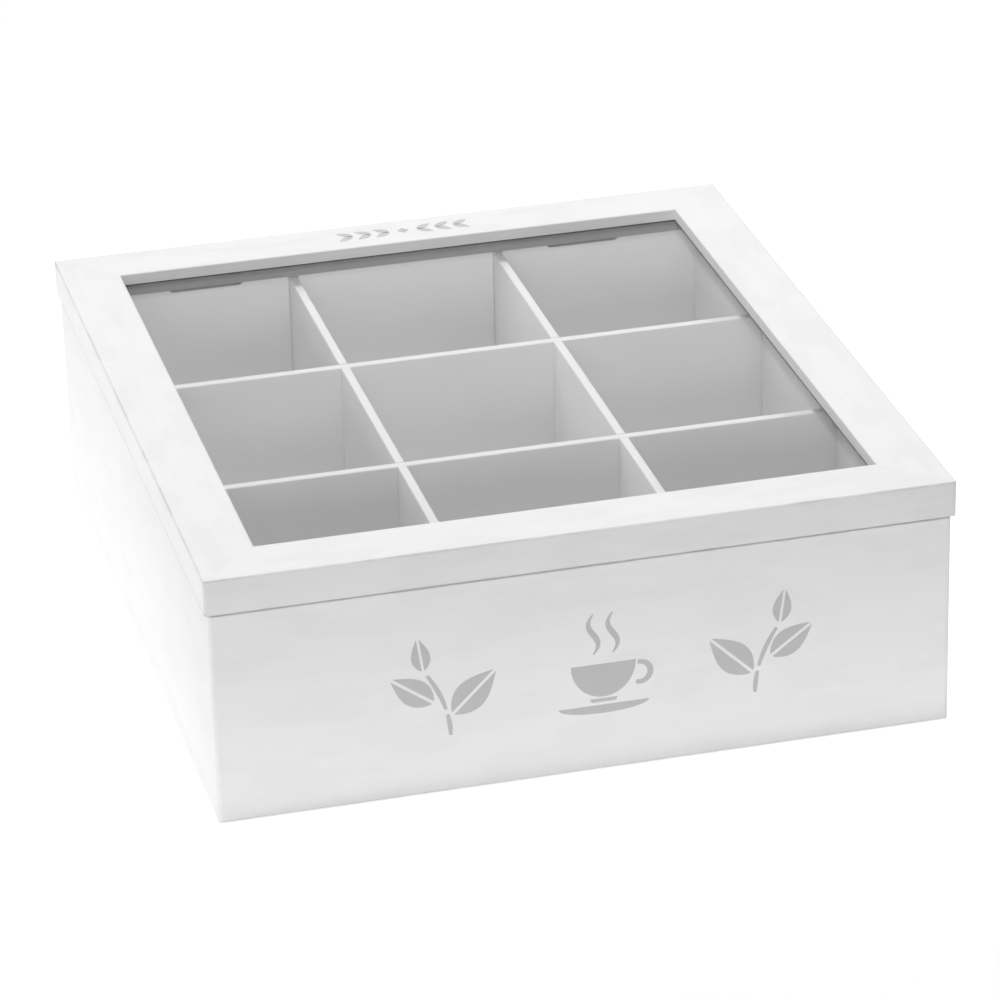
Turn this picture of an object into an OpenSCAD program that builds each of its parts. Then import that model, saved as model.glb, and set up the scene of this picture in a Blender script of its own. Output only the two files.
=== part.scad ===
// Tea box with nine compartments and a hinged lid with a glass window.
// X runs from left to right, Y from front to back and Z up. The origin is the
// middle of the underside, straight below the middle of the lid.

/* [Overall] */
// Width of the lid, left to right
lid_w = 240; // [210:1:300]
// Depth of the lid, front to back
lid_d = 264; // [230:1:320]
// Height of the closed box, lid included
closed_h = 84; // [64:1:120]
// How far the lid stands out past the box all round
overhang = 1.2; // [0:0.1:3]
// Gap between the shut lid and the rim of the box
lid_gap = 0.6; // [0.1:0.1:1]

/* [Lid frame] */
// Thickness of the rails
lid_t = 12; // [10:0.5:18]
// Width of the rails
rail_w = 20; // [18:0.5:30]
// Thickness of the lip over the glass
lip_t = 4; // [2:0.5:5]
// Width of the glass rabbet, from the window's edge
rabbet_w = 6; // [5:0.5:9]
// Radius that the cutter leaves in the rabbet's corners
rabbet_r = 3; // [1:0.5:4]

/* [Glass] */
// Thickness of the glass
glass_t = 2; // [2:0.5:3]
// Gap between the edge of the glass and the rabbet
glass_play = 1; // [0.5:0.1:2]
// Length taken off each corner of the glass
glass_dub = 1.5; // [0.5:0.25:3]
// Thickness of the sealant that beds the glass under the lip
bed_t = 0.4; // [0.2:0.1:1]
// Distance from the window's edge to the bedding
bed_inset = 0.6; // [0.2:0.1:1]
// Width of the bedding
bed_w = 3.5; // [2:0.5:4]
// Reach of each run of sealant along the glass, in from its edge
bead_reach = 2.2; // [1:0.2:4]
// Height of each run of sealant on the rabbet's wall
bead_h = 2.6; // [1.5:0.1:4]
// Thickness of a run of sealant at its feathered edges
bead_edge = 0.4; // [0.2:0.1:0.8]
// Distance from each corner of the rabbet to the end of a run
bead_stop = 9; // [5:1:20]

/* [Walls] */
// Thickness of the four walls
wall_t = 9; // [6:0.5:12]
// Part of the front and back walls that laps over the ends of the side walls
corner_lap = 4.5; // [2:0.5:5.5]
// Thickness of the bottom board
bottom_t = 3; // [3:0.5:6]
// Width of the seat that is cut into the walls for the bottom board
bottom_seat = 4.5; // [2:0.5:5]
// Gap between the edge of the bottom board and its seat
bottom_play = 0.1; // [0.1:0.1:0.5]

/* [Dividers] */
// Thickness of the dividers
divider_t = 3; // [2:0.5:5]
// Distance from the rim down to the tops of the dividers
divider_drop = 1.4; // [0.5:0.1:10]
// Depth of the grooves that hold the dividers' ends
groove_depth = 3; // [2:0.5:4]
// Gap on each side of a divider in its groove
groove_play = 0.25; // [0.1:0.05:0.5]
// Gap between a divider's end and the bottom of its groove
end_play = 0.3; // [0.1:0.1:1]
// Gap on each side of a divider in the slot of the one it crosses
slot_play = 0.15; // [0.1:0.05:0.4]

/* [Edges] */
// Radius of the upright outer corners
corner_r = 1.5; // [0.5:0.1:2]
// Radius of the long outer edges of the box and the lid
edge_r = 0.7; // [0.3:0.1:1]
// Radius of the window's top edge and of the dividers' top edges
soft_r = 0.5; // [0.2:0.1:0.8]

/* [Hinges] */
// Distance from the lid's side to the middle of each hinge
hinge_inset = 51.5; // [40:0.5:60]
// Length of a hinge along its pin
hinge_len = 25; // [20:1:32]
// Distance from the pin's centre line to a leaf's front edge
leaf_w = 13; // [12:0.5:16]
// Thickness of a leaf
leaf_t = 1; // [0.8:0.1:1.4]
// Gap between the two leaves of a folded hinge
leaf_gap = 0.3; // [0.2:0.1:0.6]
// Radius of the leaves' front corners
leaf_r = 1.2; // [0.5:0.1:2]
// Number of knuckles in a barrel
knuckles = 5; // [3:2:7]
// Gap between neighbouring knuckles
knuckle_gap = 0.2; // [0.1:0.05:0.4]
// Wall of the barrel round the pin's hole
barrel_wall = 0.95; // [0.7:0.05:1.2]
// Gap from the barrel to the wood and to the notches in the other leaf
barrel_gap = 0.3; // [0.2:0.1:0.8]
// Radius of the hinge pin
pin_r = 0.9; // [0.7:0.05:1.2]
// Gap all round between the pin and its hole
pin_play = 0.05; // [0.02:0.01:0.1]
// Radius of the domed heads on the pin's ends
pin_head_r = 1.5; // [1.3:0.1:1.8]
// Height of the domed heads
pin_head_h = 0.6; // [0.3:0.1:0.9]
// Gap round each end of a leaf in its pocket
pocket_play = 0.5; // [0.2:0.1:1]

/* [Screw holes] */
// Distance between the two screw holes of a leaf
screw_spacing = 14; // [10:0.5:16]
// Radius of a screw hole
screw_r = 1.2; // [0.8:0.1:1.4]
// Radius of its countersink at the leaf's face
sink_r = 2.1; // [1.6:0.1:2.4]
// Depth of the countersink
sink_h = 0.8; // [0.4:0.1:0.8]

/* [Hidden] */
$fn = 64;

// Length by which a cutting shape passes the face that it cuts
past = 1;

// The box under the lid
lid_z = closed_h - lid_t;
box_w = lid_w - 2 * overhang;
box_d = lid_d - 2 * overhang;
box_h = lid_z - lid_gap;
inner_w = box_w - 2 * wall_t;
inner_d = box_d - 2 * wall_t;
side_d = box_d - 2 * corner_lap;

// The nine compartments
columns = 3;
rows = 3;
column_pitch = (inner_w + divider_t) / columns;
row_pitch = (inner_d + divider_t) / rows;
divider_h = box_h - divider_drop - bottom_t;
lap_h = divider_h / 2 + slot_play;

// The window and what lies in it
window_w = lid_w - 2 * rail_w;
window_d = lid_d - 2 * rail_w;
seat_w = window_w + 2 * rabbet_w;
seat_d = window_d + 2 * rabbet_w;
glass_w = seat_w - 2 * glass_play;
glass_d = seat_d - 2 * glass_play;
glass_z = closed_h - lip_t - bed_t - glass_t;

// The hinges: the pin's centre line, its barrel and the pocket for the leaves
bore_r = pin_r + pin_play;
barrel_r = bore_r + barrel_wall;
knuckle_pitch = hinge_len / knuckles;
hinge_x = lid_w / 2 - hinge_inset;
hinge_y = lid_d / 2 + barrel_gap + barrel_r;
hinge_z = lid_z - leaf_t - leaf_gap / 2;
pocket_z = hinge_z - leaf_gap / 2 - leaf_t;
screw_back = hinge_y - (box_d - wall_t) / 2;

paint = [0.93, 0.93, 0.92];
inside_paint = [0.86, 0.86, 0.85];
clear = [0.8, 0.87, 0.88, 0.35];
sealant = [0.5, 0.5, 0.5];
dark_steel = [0.3, 0.3, 0.3];

// Waste between a square corner and its round, with the corner at the origin
module corner_waste(r) {
    difference() {
        translate([-past, -past]) square(r + past);
        translate([r, r]) circle(r);
    }
}

// A rectangle with its first corner at the origin and its two upper corners round
module round_topped(w, h, r) {
    difference() {
        square([w, h]);
        translate([0, h]) mirror([0, 1]) corner_waste(r);
        translate([w, h]) mirror([1, 0]) mirror([0, 1]) corner_waste(r);
    }
}

// A centred rectangle with all four corners round
module round_rect(w, d, r) {
    difference() {
        square([w, d], center = true);
        for (x = [0, 1], y = [0, 1])
            mirror([x, 0]) mirror([0, y]) translate([-w / 2, -d / 2]) corner_waste(r);
    }
}

// A solid along X whose section is drawn with Y across and Z up
module run_along_x(length) {
    rotate([90, 0, 90]) linear_extrude(length, center = true) children();
}

// A block on z = 0 with round upright corners and round upper and lower edges
module soft_block(w, d, h) {
    intersection() {
        linear_extrude(h) round_rect(w, d, corner_r);
        run_along_x(w) translate([0, h / 2]) round_rect(d, h, edge_r);
        rotate([0, 0, 90]) run_along_x(d) translate([0, h / 2]) round_rect(w, h, edge_r);
    }
}

// A block centred on X and Y that stands on z = 0
module centred_block(w, d, h) {
    translate([-w / 2, -d / 2, 0]) cube([w, d, h]);
}

module bottom_board(play, under = 0) {
    translate([0, 0, -under])
        centred_block(inner_w + 2 * (bottom_seat - play), inner_d + 2 * (bottom_seat - play),
                      bottom_t + under);
}

// The space of one side wall, at x > 0
module side_wall_space(extra = 0) {
    translate([inner_w / 2, -side_d / 2, -extra]) cube([wall_t + extra, side_d, box_h + 2 * extra]);
}

// Upright groove in the wall at y > 0, open at the rim
module divider_groove(wall_y) {
    translate([-divider_t / 2 - groove_play, wall_y - past, -past])
        cube([divider_t + 2 * groove_play, groove_depth + past, box_h + 2 * past]);
}

// Where the divider on each side (-1 or 1) of the middle stands
function long_divider_x(side) = side * column_pitch / 2;
function cross_divider_y(side) = side * row_pitch / 2;

// Front or back wall, made at y > 0
module end_wall() {
    difference() {
        intersection() {
            soft_block(box_w, box_d, box_h);
            translate([-box_w / 2, inner_d / 2, 0]) cube([box_w, wall_t, box_h]);
        }
        for (x = [0, 1]) mirror([x, 0, 0]) side_wall_space(past);
        bottom_board(0, past);
        for (side = [-1, 1]) translate([long_divider_x(side), 0, 0]) divider_groove(inner_d / 2);
    }
}

module side_wall(side) {
    difference() {
        intersection() {
            soft_block(box_w, box_d, box_h);
            mirror([side < 0 ? 1 : 0, 0, 0]) side_wall_space();
        }
        bottom_board(0, past);
        for (row = [-1, 1])
            translate([0, cross_divider_y(row), 0])
                rotate([0, 0, side < 0 ? 90 : -90])
                    divider_groove(inner_w / 2);
    }
}

module front_panel() {
    color(paint) mirror([0, 1, 0]) end_wall();
}

module back_panel() {
    color(paint)
        difference() {
            end_wall();
            for (side = [-1, 1])
                translate([side * hinge_x - hinge_len / 2 - pocket_play, inner_d / 2 - past, pocket_z])
                    cube([hinge_len + 2 * pocket_play, wall_t + 2 * past, box_h]);
        }
}

module left_panel() {
    color(paint) side_wall(-1);
}

module right_panel() {
    color(paint) side_wall(1);
}

module bottom_panel() {
    color(inside_paint) bottom_board(bottom_play);
}

// A divider along X; the slots for the two that cross it start at slot_z
module divider(span, pitch, slot_z) {
    difference() {
        translate([0, -divider_t / 2, bottom_t])
            run_along_x(span + 2 * (groove_depth - end_play))
                round_topped(divider_t, divider_h, soft_r);
        for (side = [-1, 1])
            translate([side * pitch / 2 - divider_t / 2 - slot_play, -divider_t, slot_z])
                cube([divider_t + 2 * slot_play, 2 * divider_t, lap_h + past]);
    }
}

// Runs from front to back, slotted from its top edge
module long_divider(side) {
    color(inside_paint)
        translate([long_divider_x(side), 0, 0])
            rotate([0, 0, 90])
                divider(inner_d, row_pitch, bottom_t + divider_h - lap_h);
}

// Runs from side to side, slotted from its bottom edge
module cross_divider(side) {
    color(inside_paint)
        translate([0, cross_divider_y(side), 0])
            divider(inner_w, column_pitch, bottom_t - past);
}

// Turns what is made for the front of the lid to another side; the length of
// that side is passed on, so that a rail and its bead are made as long as it is
function side_angle(side) = side == "front" ? 0 : side == "right" ? 90 : side == "back" ? 180 : 270;
function side_run(side) = side == "front" || side == "back" ? lid_w : lid_d;
function side_out(side) = side == "front" || side == "back" ? lid_d / 2 : lid_w / 2;

// A rail's section, with its outer face at 0 and the window's edge at rail_w
module rail_section() {
    difference() {
        square([rail_w, lid_t]);
        corner_waste(edge_r);
        translate([0, lid_t]) mirror([0, 1]) corner_waste(edge_r);
        translate([rail_w, lid_t]) mirror([0, 1]) mirror([1, 0]) corner_waste(soft_r);
    }
}

// One rail of the lid, mitred at both ends, with its share of the rabbet
module lid_rail(side) {
    run = side_run(side);
    out = side_out(side);
    color(paint)
        difference() {
            intersection() {
                rotate([0, 0, side_angle(side)])
                    translate([0, -out, lid_z]) run_along_x(run) rail_section();
                translate([0, 0, lid_z - past])
                    linear_extrude(lid_t + 2 * past)
                        intersection() {
                            round_rect(lid_w, lid_d, corner_r);
                            rotate(side_angle(side))
                                polygon([
                                    [-run / 2, -out], [run / 2, -out],
                                    [run / 2 - rail_w, rail_w - out], [rail_w - run / 2, rail_w - out]
                                ]);
                        }
            }
            translate([0, 0, lid_z - past])
                linear_extrude(lid_t - lip_t + past) round_rect(seat_w, seat_d, rabbet_r);
        }
}

module lid_glass() {
    color(clear)
        translate([0, 0, glass_z])
            linear_extrude(glass_t)
                difference() {
                    square([glass_w, glass_d], center = true);
                    for (x = [0, 1], y = [0, 1])
                        mirror([x, 0]) mirror([0, y])
                            translate([-glass_w / 2, -glass_d / 2])
                                polygon([[-past, -past], [glass_dub + past, -past], [-past, glass_dub + past]]);
                }
}

// The sealant between the glass and the lip, set back from the window's edge
module glass_bedding() {
    open_w = window_w + 2 * bed_inset;
    open_d = window_d + 2 * bed_inset;
    color(sealant)
        translate([0, 0, glass_z + glass_t])
            linear_extrude(bed_t)
                difference() {
                    square([open_w + 2 * bed_w, open_d + 2 * bed_w], center = true);
                    square([open_w, open_d], center = true);
                }
}

// A run of sealant in the corner between the glass and the rabbet's wall
module glass_bead(side) {
    reach = glass_play + bead_reach;
    color(sealant)
        rotate([0, 0, side_angle(side)])
            translate([0, rail_w - rabbet_w - side_out(side), glass_z])
                run_along_x(side_run(side) - 2 * (rail_w - rabbet_w + bead_stop))
                    polygon([[0, 0], [reach, 0], [reach, -bead_edge], [bead_edge, -bead_h], [0, -bead_h]]);
}

// Middle of a knuckle along the pin
function knuckle_x(k) = (k + 0.5) * knuckle_pitch - hinge_len / 2;

module along_pin(r, length) {
    rotate([0, 90, 0]) cylinder(r = r, h = length, center = true);
}

// A countersunk hole through a leaf whose face is at z = 0
module screw_hole() {
    translate([0, 0, -past]) cylinder(r = screw_r, h = leaf_t + 2 * past);
    cylinder(r1 = sink_r, r2 = screw_r, h = sink_h);
    translate([0, 0, -past]) cylinder(r = sink_r, h = past);
}

// A leaf with every second knuckle from the given one. The pin's centre line
// is the X axis, and the leaf lies above it and reaches towards -Y.
module leaf(first) {
    difference() {
        union() {
            translate([0, 0, leaf_gap / 2])
                linear_extrude(leaf_t)
                    difference() {
                        translate([-hinge_len / 2, -leaf_w]) square([hinge_len, leaf_w]);
                        for (x = [0, 1])
                            mirror([x, 0]) translate([-hinge_len / 2, -leaf_w]) corner_waste(leaf_r);
                    }
            for (k = [first : 2 : knuckles - 1])
                translate([knuckle_x(k), 0, 0]) along_pin(barrel_r, knuckle_pitch - knuckle_gap);
        }
        for (k = [1 - first : 2 : knuckles - 1])
            translate([knuckle_x(k), 0, 0])
                along_pin(barrel_r + barrel_gap, knuckle_pitch + (k == 0 || k == knuckles - 1 ? past : 0));
        along_pin(bore_r, hinge_len + past);
        for (side = [-1, 1])
            translate([side * screw_spacing / 2, -screw_back, leaf_gap / 2]) screw_hole();
    }
}

module at_hinge(side) {
    translate([side * hinge_x, hinge_y, hinge_z]) children();
}

module lid_leaf(side) {
    color(dark_steel) at_hinge(side) leaf(1);
}

module box_leaf(side) {
    color(dark_steel) at_hinge(side) mirror([0, 0, 1]) leaf(0);
}

// Half of the pin's section: the axis is Y, and one domed head is on top
module half_pin() {
    dome_r = (pin_head_r * pin_head_r + pin_head_h * pin_head_h) / (2 * pin_head_h);
    square([pin_r, hinge_len / 2 + pin_head_h / 2]);
    intersection() {
        translate([0, hinge_len / 2 + pin_head_h - dome_r]) circle(dome_r);
        translate([0, hinge_len / 2]) square([pin_head_r, pin_head_h]);
    }
}

module hinge_pin(side) {
    color(dark_steel)
        at_hinge(side)
            rotate([0, 90, 0])
                rotate_extrude() {
                    half_pin();
                    mirror([0, 1]) half_pin();
                }
}

front_panel();
back_panel();
left_panel();
right_panel();
bottom_panel();
long_divider(-1);  // long_divider_left
long_divider(1);  // long_divider_right
cross_divider(-1);  // cross_divider_front
cross_divider(1);  // cross_divider_back
lid_rail("front");  // lid_rail_front
lid_rail("back");  // lid_rail_back
lid_rail("left");  // lid_rail_left
lid_rail("right");  // lid_rail_right
lid_glass();
glass_bedding();
glass_bead("front");  // glass_bead_front
glass_bead("back");  // glass_bead_back
glass_bead("left");  // glass_bead_left
glass_bead("right");  // glass_bead_right
box_leaf(-1);  // hinge_left_box_leaf
lid_leaf(-1);  // hinge_left_lid_leaf
hinge_pin(-1);  // hinge_left_pin
box_leaf(1);  // hinge_right_box_leaf
lid_leaf(1);  // hinge_right_lid_leaf
hinge_pin(1);  // hinge_right_pin
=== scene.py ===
"""A tea box with nine compartments under a glazed, hinged lid.

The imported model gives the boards, the glass and the hinges. This script gives them
their finishes and adds what is painted on them, screwed or driven into them: the
stencilled emblems and border, the hinge screws and the brads. It also gives the pane's
bedding its uneven edge. Everything is in metres, with X to the right, Y to the back and
Z up.
"""

import math
import random

import bmesh
import bpy
from mathutils import Matrix, Vector


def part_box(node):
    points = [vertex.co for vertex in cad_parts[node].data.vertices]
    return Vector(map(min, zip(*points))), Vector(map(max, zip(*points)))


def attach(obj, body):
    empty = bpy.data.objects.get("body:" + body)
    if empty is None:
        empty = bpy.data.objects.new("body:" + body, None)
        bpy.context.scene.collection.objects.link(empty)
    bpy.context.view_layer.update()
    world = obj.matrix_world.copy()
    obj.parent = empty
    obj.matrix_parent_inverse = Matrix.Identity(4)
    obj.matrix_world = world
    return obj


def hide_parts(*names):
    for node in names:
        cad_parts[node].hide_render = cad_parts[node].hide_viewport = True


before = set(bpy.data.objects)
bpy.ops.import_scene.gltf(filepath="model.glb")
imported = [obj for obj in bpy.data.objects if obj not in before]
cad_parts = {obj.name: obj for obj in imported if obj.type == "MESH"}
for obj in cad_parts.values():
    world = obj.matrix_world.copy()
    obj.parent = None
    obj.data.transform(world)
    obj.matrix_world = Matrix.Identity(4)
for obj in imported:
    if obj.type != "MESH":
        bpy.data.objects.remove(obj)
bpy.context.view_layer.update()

MM = 0.001
X_AXIS, Y_AXIS = 0, 1
SIDES = ("front", "back", "left", "right")
LID_RAILS = [f"lid_rail_{side}" for side in SIDES]

# ---------------------------------------------------------------- sizes and places

# The camera stands to the left of the box's middle and looks down on it
CAMERA_AT = Vector((-345.3, -1416.9, 727.2)) * MM
CAMERA_TURN = math.radians(13.91)
CAMERA_DIP = math.radians(25.41)
CAMERA_ROLL = math.radians(1.42)
CAMERA_LENS_MM = 173.6
SENSOR_MM = 36.0

# The pane's play in its rabbet, and the grooves for the dividers' ends
PANE_PLAY = 1 * MM
GROOVE_DEPTH = 3 * MM
GROOVE_W = 3.5 * MM

# Worn edges and painted seam shade: the lid's rubbed rounded edges, painted shade along the foot of its
# sides, and painted shade on the rim it shuts on
RUBBED_W = 0.25 * MM
FOOT_SHADE_H = 0.5 * MM
RIM_SHADE_H = 0.35 * MM

# The pane's bedding, whose dark edge past the lip is painted shade for the gap under it: how far that edge
# shows past the lip and how unevenly, and the hair's breadth that keeps it off the pane
SHADE_EDGE_OUT = 0.08 * MM
SHADE_EDGE_WAVER = 0.07 * MM
SHADE_EDGE_STEP = 2.5 * MM
BEDDING_CLEAR = 0.01 * MM

# Depth of a coat of stencil paint
PAINT_FILM = 0.03 * MM

# The three emblems on the front
EMBLEM_H = 35 * MM
EMBLEM_PITCH = 52.5 * MM
EMBLEM_ROW_X = 5 * MM
EMBLEM_FOOT_Z = 19.5 * MM

# The border of leaf pairs on the lid's back rail
BORDER_PAIRS = 3
BORDER_PITCH = 6.6 * MM
BORDER_START = 5 * MM
BORDER_LEAF_L = 6.6 * MM
BORDER_LEAF_W = 2.5 * MM
BORDER_LEAF_TURN = 34
BORDER_LOZENGE_R = 2.2 * MM
BORDER_X = 3 * MM

# The folded hinges, and countersunk screws, two to a leaf
LEAF_T = 1 * MM
LEAF_GAP = 0.3 * MM
SCREW_SPACING = 14 * MM
SCREW_HEAD_R = 2.0 * MM
SCREW_HEAD_H = 0.75 * MM
SCREW_SHANK_R = 1.12 * MM
SCREW_SUNK = 0.06 * MM
CROSS_L = 2.3 * MM
CROSS_W = 0.5 * MM
CROSS_DEEP = 0.5 * MM

# Brads that hold the bottom board in its seat
BRAD_R = 0.9 * MM
BRAD_H = 0.5 * MM
BRAD_BEVEL = 0.12 * MM
BRAD_PROUD = 0.02 * MM
BRAD_FROM_EDGE = 2.3 * MM
BRAD_FROM_CORNER = 18 * MM
BRADS_A_SIDE = 5

# The table top, its paleness and glow, and the lamps: place, aim, size and watts
FLOOR_LEFT, FLOOR_RIGHT = -0.42, 0.42
FLOOR_FRONT, FLOOR_BACK = -0.27, 0.62
FLOOR_DROP = 0.05 * MM
FLOOR_LEVEL = 0.95
FLOOR_GLOW = 0.5
LAMPS = {
    "front_low": ((-0.22, -1.565, 0.29), (0, 0, 0.04), 0.7, 11.7),
    "left_low": ((-1.159, 0.184, 0.289), (0, 0, 0.04), 0.6, 6.3),
    "right_high": ((0.768, 0.067, 0.959), (0, 0, 0.04), 0.6, 4.6),
    "over": ((-0.18, -0.06, 1.4), (-0.02, 0, 0.05), 0.3, 8.8),
    "over_back": ((0.0, 0.5, 0.8), (0, 0, 0.05), 0.7, 2.1),
}


# ---------------------------------------------------------------- node trees

class Wire:
    """What comes out of one node. Numbers can be added, subtracted and multiplied."""

    def __init__(self, wiring, socket):
        self.wiring = wiring
        self.socket = socket

    def reckon(self, operation, *values):
        return self.wiring.add("ShaderNodeMath", {"operation": operation}, dict(enumerate(values)))

    def __add__(self, other):
        return self.reckon("ADD", self, other)

    __radd__ = __add__

    def __sub__(self, other):
        return self.reckon("SUBTRACT", self, other)

    def __rsub__(self, other):
        return self.reckon("SUBTRACT", other, self)

    def __mul__(self, other):
        return self.reckon("MULTIPLY", self, other)

    __rmul__ = __mul__

    def magnitude(self):
        return self.reckon("ABSOLUTE", self)

    def least(self, other):
        return self.reckon("MINIMUM", self, other)

    def most(self, other):
        return self.reckon("MAXIMUM", self, other)


class Wiring:
    """A node tree under construction."""

    def __init__(self, tree):
        self.tree = tree
        self.tree.nodes.clear()

    def add(self, kind, settings=None, values=None, output=0):
        """Adds a node: its settings first, then the value, link or list of links of each socket."""
        node = self.tree.nodes.new(kind)
        for name, setting in (settings or {}).items():
            setattr(node, name, setting)
        for name, value in (values or {}).items():
            if isinstance(value, (Wire, list)):
                for wire in value if isinstance(value, list) else [value]:
                    self.tree.links.new(wire.socket, node.inputs[name])
            else:
                node.inputs[name].default_value = value
        return Wire(self, node.outputs[output] if node.outputs else None)


class Finish(Wiring):
    """The nodes of one material."""

    def __init__(self, name):
        self.material = bpy.data.materials.new(name)
        self.material.use_nodes = True
        super().__init__(self.material.node_tree)
        self.place = self.add("ShaderNodeTexCoord", output="Object")

    def clouds(self, size, detail=2.0):
        """Cloudy variation from 0 to 1, in patches of about size (x, y, z)."""
        spread = self.add("ShaderNodeVectorMath", {"operation": "DIVIDE"}, {0: self.place, 1: size})
        return self.add("ShaderNodeTexNoise", values={"Vector": spread, "Scale": 1.0, "Detail": detail})

    def ramp(self, value, low, high):
        """0 below low, 1 above high and smooth between them."""
        return self.add("ShaderNodeMapRange", {"interpolation_type": "SMOOTHSTEP"},
                        {"Value": value, "From Min": low, "From Max": high})

    def blend(self, share, first, second):
        """A colour that goes from the first to the second as share goes from 0 to 1."""
        return self.add("ShaderNodeMix", {"data_type": "RGBA"}, {0: share, 6: first, 7: second}, output=2)

    def parted(self, vector):
        """The three numbers of a vector."""
        node = self.add("ShaderNodeSeparateXYZ", values={0: vector}).socket.node
        return [Wire(self, part) for part in node.outputs]

    def relief(self, height, depth):
        """A surface normal for a height from 0 to 1 that stands for a real depth."""
        return self.add("ShaderNodeBump", values={"Height": height, "Distance": depth})

    def coat(self, **sockets):
        """A Principled surface; an underscore in a name stands for a space."""
        return self.add("ShaderNodeBsdfPrincipled",
                        values={name.replace("_", " "): value for name, value in sockets.items()})

    def show(self, surface):
        self.add("ShaderNodeOutputMaterial", values={"Surface": surface})
        return self.material


# ---------------------------------------------------------------- finishes

def grey(level):
    return (level, level, level, 1)


# The paints, each as it is where it lies thick and where it is thin
BOX_WHITES = grey(0.893), grey(0.83)
# Painted light: the back wall is whiter than the other walls, to lift the back row of compartments
BACK_LIT_WHITES = grey(0.93), grey(0.87)
LID_WHITES = grey(0.885), grey(0.80)
DIVIDER_WHITES = grey(0.84), grey(0.76)
# Painted light: the dividers' tops are whiter than their sides, as lit from above
DIVIDER_LIT_TOP_WHITES = grey(0.93), grey(0.88)
BASE_WHITES = grey(0.90), grey(0.83)

# What shows through the paint or is left bare, and the painted shade of the seams, the rabbet, the grooves
# and the hinge pockets; the pairs go from pale to dark
# Painted shade on the rabbet's wall under the pane, which the lip above keeps in shadow
RABBET_SHADE = grey(0.36)
# Rubbed paint on the lid's edges, and the painted shade of the seam between lid and box
WEAR_AND_SEAM_SHADE = grey(0.55)
# Painted shade in the grooves that take the dividers' ends
GROOVE_SHADE = (0.2, 0.15, 0.1, 1)
FIBRES = (0.42, 0.29, 0.17, 1), (0.25, 0.16, 0.09, 1)
FIBRE_SPECKS = (0.12, 0.07, 0.04, 1)
# Near-black steel: painted shade for the hinge leaves in their pockets
STEEL_POCKET_SHADES = (0.12, 0.117, 0.114, 1), (0.06, 0.06, 0.06, 1)

# The pane, the dust on it and the sealants round it
GLASS_TINT = (0.98, 0.985, 0.983, 1)
GLASS_SHADE = (0.948, 0.952, 0.95, 1)
DUST = grey(0.8)
# Near-black bedding: painted shade for the dark line in the gap under the lip
BEDDING_SHADE_GREYS = grey(0.09), grey(0.13)
BEAD_GREYS = grey(0.44), grey(0.34)

STENCIL_GREY = 0.51


def even(size):
    """Sizes for marks that are as long as they are wide."""
    return (size, size, size)


def along(axis, long, across):
    """Sizes for marks that run along an axis."""
    return tuple(long if i == axis else across for i in range(3))


def mirrored_box(*nodes):
    """The box round some nodes, with X and Y taken as distances from the middle of the tea box."""
    boxes = [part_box(node) for node in nodes]
    low = Vector(min(box[0][i] for box in boxes) for i in range(3))
    high = Vector(max(box[1][i] for box in boxes) for i in range(3))
    for i in (X_AXIS, Y_AXIS):
        if low[i] < 0 < high[i]:
            low[i] = -high[i]
        elif high[i] <= 0:
            low[i], high[i] = -high[i], -low[i]
    return low, high


def edge_distance(finish, *nodes):
    """How far a point on the surface of a box round some nodes lies from the box's nearest edge."""
    low, high = mirrored_box(*nodes)
    mirrored = finish.add("ShaderNodeVectorMath", {"operation": "ABSOLUTE"}, {0: finish.place})
    a, b, c = [(p - low[i]).least(high[i] - p) for i, p in enumerate(finish.parted(mirrored))]
    return a.least(b).most(a.most(b).least(c))


def rabbet_wall(finish):
    """1 on the wall of the rabbet under the pane, where its painted shade goes, 0 on the rest of the lid's
    rails.
    """
    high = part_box("lid_glass")[1]
    x, y, z = [part.magnitude() for part in finish.parted(finish.place)]
    into_wood = (x - high.x - PANE_PLAY).most(y - high.y - PANE_PLAY)
    below = 1 - finish.ramp(z, high.z, high.z + 0.3 * MM)
    return (1 - finish.ramp(into_wood, 0.05 * MM, 0.25 * MM)) * below


def shaded_grooves(finish, node):
    """1 in the grooves that take the dividers' ends, where painted shade goes, 0 on the rest of a wall of the
    box.
    """
    side = node in ("left_panel", "right_panel")
    across, along_wall = (X_AXIS, Y_AXIS) if side else (Y_AXIS, X_AXIS)
    low, high = mirrored_box(node)
    divider_low, divider_high = mirrored_box("cross_divider_back" if side else "long_divider_right")
    place = [part.magnitude() for part in finish.parted(finish.place)]
    deep = place[across] - low[across]
    aside = (place[along_wall] - (divider_low[along_wall] + divider_high[along_wall]) / 2).magnitude()
    return (finish.ramp(deep, 0.02 * MM, 0.12 * MM)
            * (1 - finish.ramp(deep, GROOVE_DEPTH + 0.1 * MM, GROOVE_DEPTH + 0.3 * MM))
            * (1 - finish.ramp(aside, GROOVE_W / 2 - 0.05 * MM, GROOVE_W / 2 + 0.05 * MM))
            * (1 - finish.ramp(place[2], high.z - 0.15 * MM, high.z - 0.05 * MM)))


def wear_and_seam_shade(finish, axis, node, patches, rub):
    """1 where the paint on a lid rail's rounded edges is rubbed through, and for painted shade in the seam of
    lid and box: along the foot of the lid's side rails and round the box's rim.
    """
    height = finish.parted(finish.place)[2]
    low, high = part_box(node)
    if node not in LID_RAILS:
        # On the box's walls: painted shade along the rim, under the lid's overhang
        return finish.ramp(height + 0.3 * MM * rub, high.z - RIM_SHADE_H, high.z - RIM_SHADE_H + 0.3 * MM)
    edge = edge_distance(finish, *LID_RAILS) - 0.3 * MM * rub
    rubbed = (1 - finish.ramp(edge, RUBBED_W, 2 * RUBBED_W)) * (0.3 + 0.4 * patches)
    if axis == X_AXIS:
        return rubbed
    # Painted shade along the foot of the lid's side rails, where the seam's shadow falls
    foot_shade = 1 - finish.ramp(height - 0.4 * MM * rub, low.z + FOOT_SHADE_H, low.z + FOOT_SHADE_H + 0.4 * MM)
    return rubbed.most(foot_shade)


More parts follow.
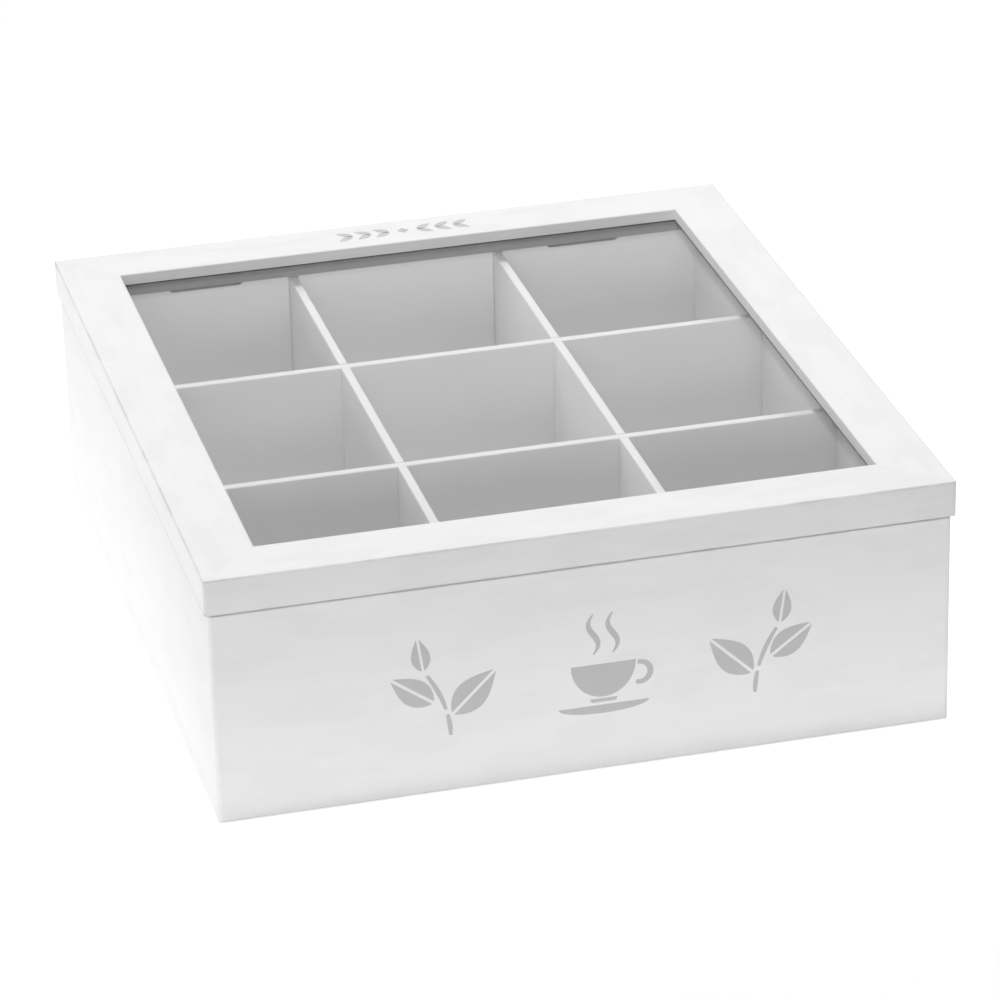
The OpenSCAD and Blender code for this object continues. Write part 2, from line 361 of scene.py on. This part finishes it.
def board_paint(name, axis, node, white, thin_white, roughness):
    """White paint brushed along a board like the given one, thin in streaks and on sanded edges."""
    finish = Finish(name)
    strokes = finish.clouds(along(axis, 90 * MM, 1.3 * MM), 4.0)
    drift = finish.clouds(along(axis, 46 * MM, 15 * MM), 3.0)
    flecks = finish.ramp(finish.clouds(along(axis, 16 * MM, 0.8 * MM), 1.0), 0.66, 0.78)
    peel = finish.clouds(even(1.1 * MM), 1.0)
    rub = finish.clouds(even(5 * MM), 3.0)
    worn = 1 - finish.ramp(edge_distance(finish, node) - 0.8 * MM * rub, -0.1 * MM, 0.5 * MM)
    patches = finish.ramp(finish.clouds(along(axis, 24 * MM, 9 * MM), 3.0), 0.46, 0.62)
    thin = 0.34 * strokes + 0.5 * drift + 0.3 * flecks * drift + 0.5 * worn + 0.3 * patches
    relief = 0.6 * strokes + 0.25 * peel + 0.15 * drift
    paint = finish.blend(thin, white, thin_white)
    # Real wear on the lid's edges, and painted shade in the seam at the box's rim and the lid's foot
    paint = finish.blend(wear_and_seam_shade(finish, axis, node, patches, rub), paint, WEAR_AND_SEAM_SHADE)
    if node in LID_RAILS:
        # Painted shade on the rabbet's wall, shadowed by the lip above
        paint = finish.blend(rabbet_wall(finish), paint, RABBET_SHADE)
    else:
        # Painted shade in the grooves above the dividers' ends
        paint = finish.blend(shaded_grooves(finish, node), paint, GROOVE_SHADE)
    return finish.show(finish.coat(
        Base_Color=paint,
        Roughness=roughness + 0.12 * strokes + 0.1 * worn,
        Normal=finish.relief(relief, 0.02 * MM)))


def divider_paint(name, axis):
    """Thin matt paint on the dividers, with painted light: whiter on their tops, which face the light, than
    on their shaded sides.
    """
    finish = Finish(name)
    strokes = finish.clouds(along(axis, 70 * MM, 1.0 * MM), 4.0)
    drift = finish.clouds(even(22 * MM), 3.0)
    fuzz = finish.clouds(even(0.5 * MM), 2.0)
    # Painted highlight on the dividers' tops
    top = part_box("cross_divider_front")[1].z
    near_top = finish.ramp(finish.parted(finish.place)[2], top - 0.6 * MM, top - 0.1 * MM)
    sides = finish.blend(0.3 * strokes + 0.5 * drift, *DIVIDER_WHITES)
    return finish.show(finish.coat(
        Base_Color=finish.blend(near_top, sides, finish.blend(drift, *DIVIDER_LIT_TOP_WHITES)),
        Roughness=0.62 + 0.14 * fuzz,
        Normal=finish.relief(0.5 * strokes + 0.5 * fuzz, 0.02 * MM)))


def base_board(name):
    """Fibreboard, painted white above and left bare below."""
    finish = Finish(name)
    lengthwise = finish.clouds((2.6 * MM, 0.35 * MM, 1 * MM), 5.0)
    crosswise = finish.clouds((0.35 * MM, 2.6 * MM, 1 * MM), 5.0)
    fibres = 0.5 * lengthwise + 0.5 * crosswise
    drift = finish.clouds(even(30 * MM), 3.0)
    specks = finish.ramp(finish.clouds(even(0.9 * MM), 1.0), 0.68, 0.76)
    bare = finish.blend(0.75 * fibres + 0.35 * drift, *FIBRES)
    flecked = finish.blend(0.6 * specks, bare, FIBRE_SPECKS)
    painted = finish.blend(0.6 * drift + 0.2 * fibres, *BASE_WHITES)
    above = finish.ramp(finish.parted(finish.place)[2], 0.6 * MM, 0.9 * MM)
    return finish.show(finish.coat(
        Base_Color=finish.blend(above, flecked, painted),
        Roughness=0.82 - 0.2 * above,
        Normal=finish.relief(fibres, 0.03 * MM)))


def clear_glass(name):
    """Float glass that bends what is seen through it, lets lamps shine through and has a trace of dust."""
    finish = Finish(name)
    smears = finish.ramp(finish.clouds((34 * MM, 12 * MM, 20 * MM), 4.0), 0.45, 0.8)
    dust = finish.ramp(finish.clouds(even(0.5 * MM), 1.0), 0.7, 0.8)
    path = finish.add("ShaderNodeLightPath").socket.node
    lighting = Wire(finish, path.outputs["Is Shadow Ray"]).most(Wire(finish, path.outputs["Is Diffuse Ray"]))
    bending = finish.coat(
        Base_Color=GLASS_TINT, Roughness=0.01 + 0.02 * smears, IOR=1.5, Transmission_Weight=1.0)
    passing = finish.add("ShaderNodeBsdfTransparent", values={"Color": GLASS_SHADE})
    film = finish.coat(Base_Color=DUST, Roughness=0.6)
    pane = finish.add("ShaderNodeMixShader", values={0: lighting, 1: bending, 2: passing})
    return finish.show(finish.add("ShaderNodeMixShader", values={
        0: 0.003 + 0.006 * smears + 0.02 * dust, 1: pane, 2: film}))


def sealant(name, colour, cloudy):
    """Cured glazing sealant, smoothed by hand and a little cloudy."""
    finish = Finish(name)
    lumps = finish.clouds(even(6 * MM), 3.0)
    grain = finish.clouds(even(0.6 * MM), 2.0)
    return finish.show(finish.coat(
        Base_Color=finish.blend(lumps, colour, cloudy),
        Roughness=0.3 + 0.2 * grain,
        Normal=finish.relief(0.8 * lumps + 0.2 * grain, 0.25 * MM)))


def dark_metal(name, axis):
    """Steel drawn along one axis, dark and uneven: its darkness is painted shade for the hinges' pockets."""
    finish = Finish(name)
    drawn = finish.clouds(along(axis, 9 * MM, 0.12 * MM), 3.0)
    dull = finish.clouds(even(3.5 * MM), 3.0)
    pits = finish.ramp(finish.clouds(even(0.45 * MM), 1.0), 0.7, 0.8)
    return finish.show(finish.coat(
        Base_Color=finish.blend(0.5 * dull + 0.4 * pits, *STEEL_POCKET_SHADES),
        Metallic=1.0,
        Roughness=0.34 + 0.16 * drawn + 0.12 * dull,
        Normal=finish.relief(drawn, 0.006 * MM)))


def stencil_paint(name, level):
    """Flat grey paint dabbed through a stencil, so that it lies a little unevenly."""
    finish = Finish(name)
    dabs = finish.clouds(even(2.2 * MM), 3.0)
    strokes = finish.clouds(along(X_AXIS, 60 * MM, 1.3 * MM), 3.0)
    starved = finish.ramp(finish.clouds(even(0.7 * MM)), 0.62, 0.75)
    return finish.show(finish.coat(
        Base_Color=finish.blend(0.5 * dabs + 0.3 * strokes + 0.25 * starved, grey(level), grey(1.16 * level)),
        Roughness=0.66 + 0.1 * dabs,
        Normal=finish.relief(0.6 * dabs + 0.4 * strokes, 0.015 * MM)))


steel_and_pocket_shade = dark_metal("darkened_steel", X_AXIS)
bedding_sealant = sealant("bedding_sealant", *BEDDING_SHADE_GREYS)

NODE_FINISHES = {
    board_paint("box_paint_front", X_AXIS, "front_panel", *BOX_WHITES, 0.42): ["front_panel"],
    board_paint("box_paint_back", X_AXIS, "back_panel", *BACK_LIT_WHITES, 0.42): ["back_panel"],
    board_paint("box_paint_sides", Y_AXIS, "right_panel", *BOX_WHITES, 0.42): ["left_panel", "right_panel"],
    board_paint("lid_paint_across", X_AXIS, "lid_rail_back", *LID_WHITES, 0.4):
        ["lid_rail_front", "lid_rail_back"],
    board_paint("lid_paint_sides", Y_AXIS, "lid_rail_right", *LID_WHITES, 0.4):
        ["lid_rail_left", "lid_rail_right"],
    divider_paint("divider_paint_long", Y_AXIS): ["long_divider_left", "long_divider_right"],
    divider_paint("divider_paint_cross", X_AXIS): ["cross_divider_front", "cross_divider_back"],
    base_board("base_board"): ["bottom_panel"],
    clear_glass("clear_glass"): ["lid_glass"],
    bedding_sealant: ["glass_bedding"],
    sealant("bead_sealant", *BEAD_GREYS): [f"glass_bead_{side}" for side in SIDES],
    steel_and_pocket_shade: [f"hinge_{side}_{part}" for side in ("left", "right")
                  for part in ("box_leaf", "lid_leaf", "pin")],
}

for material, nodes in NODE_FINISHES.items():
    for node in nodes:
        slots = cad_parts[node].data.materials
        slots.clear()
        slots.append(material)


# ---------------------------------------------------------------- drawn shapes

def leaf(length, width, rib):
    """The two halves of a pointed leaf that stands on the origin, a rib's width apart."""
    steps = 24
    halves = []
    for side in (-1, 1):
        belly = [width / 2 * math.sin(math.pi * (i / steps) ** 0.8) for i in range(1, steps)]
        edge = [(side * (rib / 2 + b), length * i / steps) for i, b in enumerate(belly, start=1)]
        halves.append([(side * rib / 2, 0), *edge, (side * rib / 2, length)])
    return halves


def stroke(line, thick, thin):
    """A brush stroke along a line of points, thick in its middle and thin at its ends."""
    last = len(line) - 1
    left, right = [], []
    for i, (x, y) in enumerate(line):
        (x0, y0), (x1, y1) = line[max(i - 1, 0)], line[min(i + 1, last)]
        half = (thin + (thick - thin) * math.sin(math.pi * i / last)) / 2 / math.hypot(x1 - x0, y1 - y0)
        left.append((x - (y1 - y0) * half, y + (x1 - x0) * half))
        right.append((x + (y1 - y0) * half, y - (x1 - x0) * half))
    return left + right[::-1]


def arc(middle, radius, start, end, squeeze=1.0, steps=20):
    """Points on an arc between two angles in degrees; squeeze makes it lower than it is wide."""
    turns = [math.radians(start + (end - start) * i / steps) for i in range(steps + 1)]
    return [(middle[0] + radius * math.cos(a), middle[1] + squeeze * radius * math.sin(a)) for a in turns]


def placed(outlines, at, turn=0.0, scale=1.0):
    """Outlines turned by an angle in degrees, scaled and moved on their sheet."""
    c, s = scale * math.cos(math.radians(turn)), scale * math.sin(math.radians(turn))
    return [[(at[0] + c * x - s * y, at[1] + s * x + c * y) for x, y in outline] for outline in outlines]


def sprig(lean):
    """A stem with two leaves and a bud, one unit tall, which leans to one side (-1 or 1)."""
    def stem(t, aside=0.0):
        return (lean * (0.2 * t * t - 0.09) + aside, 0.62 * t)

    shapes = [stroke([stem(start + (end - start) * i / 6) for i in range(7)], 0.045, 0.03)
              for start, end in ((0.0, 0.34), (0.42, 1.0))]
    shapes += placed(leaf(0.54, 0.27, 0.03), stem(0.34, lean * -0.05), lean * 46)
    shapes += placed(leaf(0.46, 0.23, 0.03), stem(0.56, lean * 0.09), lean * -54)
    shapes += placed(leaf(0.32, 0.15, 0.024), stem(1.08), lean * -8)
    return shapes


def steaming_cup():
    """A round cup on its saucer under two wisps of steam, one unit tall."""
    shapes = [
        arc((0, 0.5), 0.3, 180, 360, squeeze=1.1),
        arc((0, 0.09), 0.42, 180, 360, squeeze=0.2),
        stroke(arc((0.335, 0.37), 0.1, 100, -110), 0.055, 0.04),
        [(-0.11, 0.12), (0.11, 0.12), (0.13, 0.155), (-0.13, 0.155)],
    ]
    for x in (-0.09, 0.09):
        wave = [(x + 0.045 * math.sin(math.tau * i / 16), 0.6 + 0.4 * i / 16) for i in range(17)]
        shapes.append(stroke(wave, 0.055, 0.012))
    return shapes


def shown(name, mesh):
    """A mesh as an object of the scene."""
    piece = bpy.data.objects.new(name, mesh)
    bpy.context.scene.collection.objects.link(piece)
    return piece


def built(name, build, material):
    """A finished bmesh as an object of the scene."""
    mesh = bpy.data.meshes.new(name)
    build.to_mesh(mesh)
    build.free()
    mesh.materials.append(material)
    return shown(name, mesh)


def paint_film(name, outlines, surface, material):
    """Outlines as one mesh of paint; surface gives the place of (x, y, height) on a board."""
    build = bmesh.new()
    for outline in outlines:
        under, over = [[build.verts.new(surface(x, y, lift)) for x, y in outline] for lift in (0, PAINT_FILM)]
        build.faces.new(under)
        build.faces.new(over)
        for i in range(len(outline)):
            build.faces.new((under[i - 1], under[i], over[i], over[i - 1]))
    bmesh.ops.recalc_face_normals(build, faces=build.faces)
    bmesh.ops.triangulate(build, faces=build.faces)
    return built(name, build, material)


# ---------------------------------------------------------------- repeated pieces

class Pattern(Wiring):
    """A Geometry Nodes tree with named inputs, which makes small pieces and repeats them."""

    KINDS = {"Finish": "NodeSocketMaterial", "Count": "NodeSocketInt", "Seed": "NodeSocketInt"}

    def __init__(self, name, inputs):
        super().__init__(bpy.data.node_groups.new(name, "GeometryNodeTree"))
        sockets = self.tree.interface
        sockets.new_socket("Shape", in_out="INPUT", socket_type="NodeSocketGeometry")
        for label in inputs:
            sockets.new_socket(label, in_out="INPUT", socket_type=self.KINDS.get(label, "NodeSocketFloat"))
        sockets.new_socket("Shape", in_out="OUTPUT", socket_type="NodeSocketGeometry")
        self.source = self.add("NodeGroupInput").socket.node

    def given(self, label):
        return Wire(self, self.source.outputs[label])

    def vector(self, x=0.0, y=0.0, z=0.0):
        return self.add("ShaderNodeCombineXYZ", values={"X": x, "Y": y, "Z": z})

    def lowered(self, shape, depth):
        return self.add("GeometryNodeTransform", values={
            "Geometry": shape, "Translation": self.vector(z=-1.0 * depth)})

    def boolean(self, operation, values):
        return self.add("GeometryNodeMeshBoolean", {"operation": operation, "solver": "EXACT"}, values)

    def repeated(self, piece, turn):
        """The piece at each point of the given shape."""
        spots = self.add("GeometryNodeMeshToPoints", values={"Mesh": self.given("Shape")})
        return self.add("GeometryNodeInstanceOnPoints", values={
            "Points": spots, "Instance": piece, "Rotation": turn})

    def finished(self, instances):
        """Makes the instances real, gives them their finish and ends the tree."""
        real = self.add("GeometryNodeRealizeInstances", values={"Geometry": instances})
        dressed = self.add("GeometryNodeSetMaterial", values={
            "Geometry": real, "Material": self.given("Finish")})
        self.add("NodeGroupOutput", values={"Shape": dressed})
        return self.tree


def screw_tree():
    """A countersunk screw with a cross recess at each point, turned about its axis at random."""
    pattern = Pattern("hinge_screws", [
        "Head Radius", "Head Height", "Shank Radius", "Shank Length", "Cross Length", "Cross Width",
        "Cross Depth", "Flip", "Seed", "Finish"])
    given = pattern.given
    head = pattern.add("GeometryNodeMeshCone", values={
        "Vertices": 32, "Radius Top": given("Head Radius"), "Radius Bottom": given("Shank Radius"),
        "Depth": given("Head Height")})
    shank = pattern.add("GeometryNodeMeshCylinder", values={
        "Vertices": 32, "Radius": given("Shank Radius"), "Depth": given("Shank Length")})
    blank = pattern.boolean("UNION", {"Mesh 2": [
        pattern.lowered(head, given("Head Height")),
        pattern.lowered(shank, given("Head Height") + 0.5 * given("Shank Length"))]})
    arms = ("Cross Length", "Cross Width"), ("Cross Width", "Cross Length")
    bars = [pattern.add("GeometryNodeMeshCube", values={
        "Size": pattern.vector(given(x), given(y), 2.0 * given("Cross Depth"))}) for x, y in arms]
    screw = pattern.boolean("DIFFERENCE", {"Mesh 1": blank, "Mesh 2": bars})
    turn = pattern.add("FunctionNodeRandomValue", {"data_type": "FLOAT"},
                       {2: 0.0, 3: math.pi, "Seed": given("Seed")}, output=1)
    return pattern.finished(pattern.repeated(screw, pattern.vector(given("Flip"), 0.0, turn)))


def brad_tree():
    """The head of a brad at each point, its bevelled face down."""
    pattern = Pattern("board_brads", ["Head Radius", "Head Height", "Bevel", "Finish"])
    given = pattern.given
    head = pattern.add("GeometryNodeMeshCone", values={
        "Vertices": 16, "Radius Top": given("Head Radius"),
        "Radius Bottom": given("Head Radius") - given("Bevel"), "Depth": given("Head Height")})
    return pattern.finished(pattern.repeated(head, pattern.vector()))


def border_tree():
    """A row of the given leaf pair that runs both ways from a lozenge in the middle."""
    pattern = Pattern("leaf_border", ["Count", "Pitch", "Start", "Lozenge Radius", "Film", "Finish"])
    given = pattern.given
    row = pattern.add("GeometryNodeMeshLine", values={
        "Count": given("Count"), "Start Location": pattern.vector(given("Start")),
        "Offset": pattern.vector(given("Pitch"))})
    wing = pattern.add("GeometryNodeInstanceOnPoints", values={"Points": row, "Instance": given("Shape")})
    turned = pattern.add("GeometryNodeTransform", values={
        "Geometry": wing, "Rotation": pattern.vector(z=math.pi)})
    lozenge = pattern.add("GeometryNodeMeshCylinder", values={
        "Vertices": 4, "Radius": given("Lozenge Radius"), "Depth": given("Film")})
    return pattern.finished(pattern.add("GeometryNodeJoinGeometry", values={
        "Geometry": [wing, turned, pattern.lowered(lozenge, -0.5 * given("Film"))]}))


def run_pattern(name, tree, start, inputs):
    """Runs a tree on a mesh and keeps what it makes as a plain mesh."""
    carrier = shown(name + "_start", start)
    modifier = carrier.modifiers.new("pattern", "NODES")
    modifier.node_group = tree
    for item in tree.interface.items_tree:
        if item.in_out == "INPUT" and item.name in inputs:
            modifier[item.identifier] = inputs[item.name]
    graph = bpy.context.evaluated_depsgraph_get()
    mesh = bpy.data.meshes.new_from_object(carrier.evaluated_get(graph))
    mesh.name = name
    carrier.modifiers.clear()
    bpy.data.objects.remove(carrier)
    return shown(name, mesh)


def points(name, places):
    mesh = bpy.data.meshes.new(name)
    mesh.from_pydata(places, [], [])
    return mesh


def owned(piece, body):
    """Lets a piece ride on a body."""
    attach(piece, body)


# ---------------------------------------------------------------- emblems and border

front_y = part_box("front_panel")[0].y
rail_low, rail_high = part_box("lid_rail_back")
grey_paint = stencil_paint("stencil_paint", STENCIL_GREY)

EMBLEMS = {"emblem_left": sprig(-1), "emblem_middle": steaming_cup(), "emblem_right": sprig(1)}
for column, (name, shapes) in enumerate(EMBLEMS.items(), start=-1):
    outlines = placed(shapes, (EMBLEM_ROW_X + column * EMBLEM_PITCH, EMBLEM_FOOT_Z), scale=EMBLEM_H)
    owned(paint_film(name, outlines, lambda x, y, lift: (x, front_y - lift, y), grey_paint),
          "box")

leaf_shape = leaf(BORDER_LEAF_L, BORDER_LEAF_W, 0.12 * BORDER_LEAF_W)
leaf_pair = paint_film(
    "border_leaf_pair",
    [half for side in (-1, 1) for half in placed(leaf_shape, (0, 0), side * BORDER_LEAF_TURN - 90)],
    lambda x, y, lift: (x, y, lift), grey_paint)
border = run_pattern("rail_border", border_tree(), leaf_pair.data.copy(), {
    "Count": BORDER_PAIRS, "Pitch": BORDER_PITCH, "Start": BORDER_START,
    "Lozenge Radius": BORDER_LOZENGE_R, "Film": PAINT_FILM, "Finish": grey_paint})
bpy.data.objects.remove(leaf_pair)
border.data.transform(Matrix.Translation((BORDER_X, (rail_low.y + rail_high.y) / 2, rail_high.z)))
owned(border, "lid")


# ---------------------------------------------------------------- bedding of the pane

def around(low, high, counts, reach):
    """Points on the four sides of a rectangle, each moved inwards by what reach() gives for it."""
    corners = [(low.x, low.y), (high.x, low.y), (high.x, high.y), (low.x, high.y)]
    ring = []
    for (ax, ay), (bx, by), count in zip(corners, corners[1:] + corners[:1], counts):
        ux, uy = (bx > ax) - (bx < ax), (by > ay) - (by < ay)
        for i in range(count):
            inwards, share = reach(), i / count
            onwards = inwards if i == 0 else 0
            ring.append((ax + share * (bx - ax) - uy * inwards + ux * onwards,
                         ay + share * (by - ay) + ux * inwards + uy * onwards))
    return ring


def bedding_shade_edge(name, material):
    """The pane's bedding with an uneven near-black edge past the lip: painted shade for the gap between lip
    and pane.
    """
    front, back, left, right = [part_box(rail) for rail in LID_RAILS]
    window = Vector((left[1].x, front[1].y)), Vector((right[0].x, back[0].y))
    low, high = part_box("glass_bedding")
    counts = [round(length / SHADE_EDGE_STEP) for length in (*(window[1] - window[0]),) * 2]
    chance = random.Random(5)
    inner = around(*window, counts, lambda: SHADE_EDGE_OUT + SHADE_EDGE_WAVER * chance.uniform(-1, 1))
    outer = around(low, high, counts, lambda: BEDDING_CLEAR)
    foot, top = low.z + BEDDING_CLEAR, high.z - BEDDING_CLEAR
    build = bmesh.new()
    rings = [[build.verts.new((x, y, z)) for x, y in ring]
             for ring, z in ((inner, foot), (inner, top), (outer, top), (outer, foot))]
    for ring, after in zip(rings, rings[1:] + rings[:1]):
        for i in range(len(ring)):
            build.faces.new((ring[i - 1], ring[i], after[i], after[i - 1]))
    bmesh.ops.recalc_face_normals(build, faces=build.faces)
    return built(name, build, material)


# A near-black edge of bedding just past the lip, as painted shade of the gap
bedding = bedding_shade_edge("bedding_shade_edge", bedding_sealant)
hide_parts("glass_bedding")
owned(bedding, "lid")


# ---------------------------------------------------------------- screws and brads

hinge_screws = screw_tree()
pin_low, pin_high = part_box("hinge_left_pin")
wall_low, wall_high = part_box("back_panel")

for body, turn, face in (("box", 0.0, -1), ("lid", math.pi, 1)):
    places = []
    for side in ("left", "right"):
        low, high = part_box(f"hinge_{side}_{body}_leaf")
        places += [((low.x + high.x) / 2 + end * SCREW_SPACING / 2, (wall_low.y + wall_high.y) / 2,
                    (pin_low.z + pin_high.z) / 2 + face * (LEAF_GAP / 2 + SCREW_SUNK)) for end in (-1, 1)]
    owned(run_pattern(f"{body}_leaf_screws", hinge_screws, points("screw_places", places), {
        "Head Radius": SCREW_HEAD_R, "Head Height": SCREW_HEAD_H, "Shank Radius": SCREW_SHANK_R,
        "Shank Length": LEAF_T - SCREW_SUNK - SCREW_HEAD_H, "Cross Length": CROSS_L, "Cross Width": CROSS_W,
        "Cross Depth": CROSS_DEEP, "Flip": turn, "Seed": 3, "Finish": steel_and_pocket_shade}), body)

board_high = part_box("bottom_panel")[1]


def brad_row(span):
    """Evenly spaced places along one side of the board, measured from its middle."""
    reach = span - BRAD_FROM_CORNER
    return [reach * (2 * i / (BRADS_A_SIDE - 1) - 1) for i in range(BRADS_A_SIDE)]


side_x, side_y = board_high.x - BRAD_FROM_EDGE, board_high.y - BRAD_FROM_EDGE
brad_places = [(x, side * side_y, -BRAD_PROUD) for side in (-1, 1) for x in brad_row(board_high.x)]
brad_places += [(side * side_x, y, -BRAD_PROUD) for side in (-1, 1) for y in brad_row(board_high.y)]
owned(run_pattern("base_brads", brad_tree(), points("brad_places", brad_places), {
    "Head Radius": BRAD_R, "Head Height": BRAD_H, "Bevel": BRAD_BEVEL, "Finish": steel_and_pocket_shade}),
    "box")


# ---------------------------------------------------------------- camera, stage and light

def studio_camera():
    data = bpy.data.cameras.new("studio_camera")
    data.sensor_width = SENSOR_MM
    data.lens = CAMERA_LENS_MM
    camera = bpy.data.objects.new("studio_camera", data)
    bpy.context.scene.collection.objects.link(camera)
    camera.matrix_world = (
        Matrix.Translation(CAMERA_AT) @ Matrix.Rotation(-CAMERA_TURN, 4, "Z")
        @ Matrix.Rotation(math.pi / 2 - CAMERA_DIP, 4, "X") @ Matrix.Rotation(-CAMERA_ROLL, 4, "Z"))
    bpy.context.scene.camera = camera


def seen(wiring):
    """1 for what the camera sees straight, in a mirror or through glass, and 0 for what lights."""
    path = wiring.add("ShaderNodeLightPath").socket.node
    camera, glossy, passed = [Wire(wiring, path.outputs[label]) for label in
                              ("Is Camera Ray", "Is Glossy Ray", "Is Transmission Ray")]
    return camera.most(glossy).most(passed)


def studio_world():
    """White to look at and in mirrors. It sheds no light of its own."""
    world = bpy.data.worlds.new("studio")
    bpy.context.scene.world = world
    world.use_nodes = True
    wiring = Wiring(world.node_tree)
    background = wiring.add("ShaderNodeBackground", values={"Color": grey(1), "Strength": seen(wiring)})
    wiring.add("ShaderNodeOutputWorld", values={"Surface": background})


def studio_floor():
    """A plain pale table that reads as white where the object doesn't shade it."""
    mesh = bpy.data.meshes.new("floor")
    mesh.from_pydata([(x, y, -FLOOR_DROP) for x, y in (
        (FLOOR_LEFT, FLOOR_FRONT), (FLOOR_RIGHT, FLOOR_FRONT),
        (FLOOR_RIGHT, FLOOR_BACK), (FLOOR_LEFT, FLOOR_BACK))], [], [(0, 1, 2, 3)])
    finish = Finish("floor")
    matt = finish.add("ShaderNodeBsdfDiffuse", values={"Color": grey(FLOOR_LEVEL)})
    glow = finish.add("ShaderNodeEmission", values={"Color": grey(1), "Strength": FLOOR_GLOW * seen(finish)})
    mesh.materials.append(finish.show(finish.add("ShaderNodeAddShader", values={0: matt, 1: glow})))
    shown("floor", mesh)


def studio_lamp(name, at, aim, size, watts):
    """A soft lamp that lights, but isn't itself mirrored: gloss and glass show the white room."""
    light = bpy.data.lights.new(name, "AREA")
    light.size = size
    light.energy = watts
    lamp = bpy.data.objects.new(name, light)
    lamp.location = at
    lamp.rotation_euler = (Vector(aim) - Vector(at)).to_track_quat("-Z", "Y").to_euler()
    lamp.visible_glossy = lamp.visible_transmission = False
    bpy.context.scene.collection.objects.link(lamp)


bpy.context.scene.view_settings.view_transform = "Standard"
studio_camera()
studio_world()
studio_floor()
for name, (at, aim, size, watts) in LAMPS.items():
    studio_lamp(name, at, aim, size, watts)
